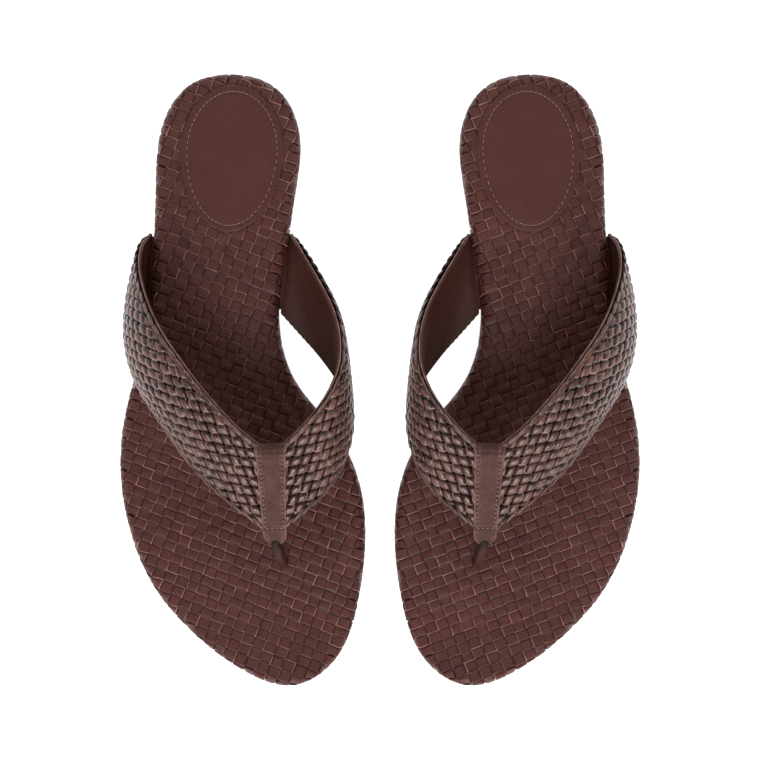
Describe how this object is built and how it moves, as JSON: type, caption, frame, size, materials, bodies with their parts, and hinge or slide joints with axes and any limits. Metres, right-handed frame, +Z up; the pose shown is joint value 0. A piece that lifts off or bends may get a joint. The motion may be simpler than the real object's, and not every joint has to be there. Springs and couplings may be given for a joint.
{
  "type": "pair of flip flops",
  "caption": "Pair of flat thong flip flops: wide woven leather V straps with a leather toe tab and post, on woven-covered soles with smooth heel pads.",
  "frame": {"origin": "on the floor, at the middle of the pair", "axes": "+Z up, +Y from the toes towards the heels, +X from the right sandal to the left sandal"},
  "size_m": [0.213, 0.25, 0.0549],
  "materials": {
    "footbed_weave": "satin, finely grained, flat plain weave",
    "strap_weave": "semi-gloss, padded plain weave",
    "smooth_leather": "satin, smooth",
    "tab_leather": "satin, grained",
    "lining": "satin, smooth",
    "outsole": "satin, dark edge",
    "outsole_rubber": "matt",
    "heel_lift": "satin, dark edge",
    "board": "matt cellulose board",
    "foam": "matt latex foam",
    "thread": "matt twisted thread",
    "webbing": "matt nylon webbing",
    "steel": "bright wire"
  },
  "bodies": {
    "right_sandal": {"right_outsole": "outsole", "right_insole_board": "board", "right_footbed_foam": "foam", "right_footbed_cover": "footbed_weave", "right_heel_lift": "heel_lift", "right_heel_top_piece": "outsole_rubber", "right_heel_tacks": "steel", "right_heel_pad": "smooth_leather", "right_heel_pad_stitching": "thread", "right_outer_strap_weave": "strap_weave", "right_outer_strap_lining": "lining", "right_inner_strap_weave": "strap_weave", "right_inner_strap_lining": "lining", "right_toe_tab": "tab_leather", "right_toe_tab_stitching": "thread", "right_toe_post": "tab_leather", "right_toe_post_core": "webbing", "right_toe_post_staple": "steel"},
    "left_sandal": {"left_outsole": "outsole", "left_insole_board": "board", "left_footbed_foam": "foam", "left_footbed_cover": "footbed_weave", "left_heel_lift": "heel_lift", "left_heel_top_piece": "outsole_rubber", "left_heel_tacks": "steel", "left_heel_pad": "smooth_leather", "left_heel_pad_stitching": "thread", "left_outer_strap_weave": "strap_weave", "left_outer_strap_lining": "lining", "left_inner_strap_weave": "strap_weave", "left_inner_strap_lining": "lining", "left_toe_tab": "tab_leather", "left_toe_tab_stitching": "thread", "left_toe_post": "tab_leather", "left_toe_post_core": "webbing", "left_toe_post_staple": "steel"}
  },
  "joints": [
    {"name": "left_sandal_lift", "type": "slide", "parent": "right_sandal", "child": "left_sandal", "axis": [0, 0, 1], "range_m": [0, 0.1]}
  ]
}
